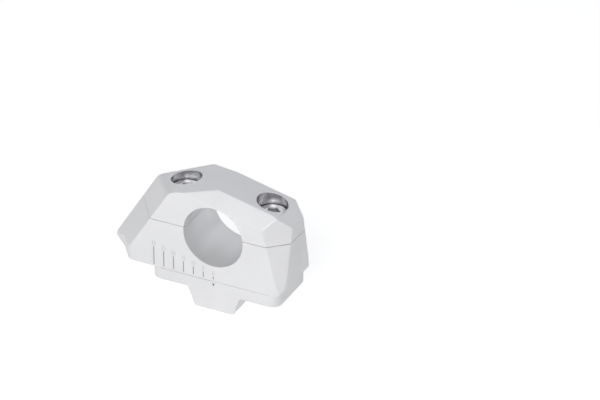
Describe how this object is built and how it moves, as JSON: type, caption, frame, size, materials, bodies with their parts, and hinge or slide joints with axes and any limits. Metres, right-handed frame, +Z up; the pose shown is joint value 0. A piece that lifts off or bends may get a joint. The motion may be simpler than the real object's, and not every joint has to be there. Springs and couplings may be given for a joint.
{
  "type": "motorcycle bar riser",
  "caption": "Handlebar riser whose two-part bar clamp slides on a dovetail base to set the bar's offset.",
  "frame": {"origin": "midway between the two base bolt holes, on the underside of the base plate", "axes": "+X towards the flat right end, along the slide; +Y along the handlebar, away from the face with the scale; +Z up"},
  "size_m": [0.0933, 0.03, 0.059],
  "materials": {
    "clamp_aluminium": "bead blasted, clear anodised",
    "base_aluminium": "bead blasted, clear anodised",
    "screw_steel": "stainless, turned",
    "lock_steel": "black oxide",
    "gib_metal": "machined"
  },
  "bodies": {
    "base": {"base_plate": "base_aluminium"},
    "clamp": {"lower_clamp": "clamp_aluminium", "upper_clamp": "clamp_aluminium", "clamp_screw_left": "screw_steel", "clamp_screw_right": "screw_steel", "gib": "gib_metal", "lock_screws": "lock_steel"}
  },
  "joints": [
    {"name": "offset_slide", "type": "slide", "parent": "base", "child": "clamp", "axis": [1, 0, 0], "range_m": [0, 0.03]}
  ]
}
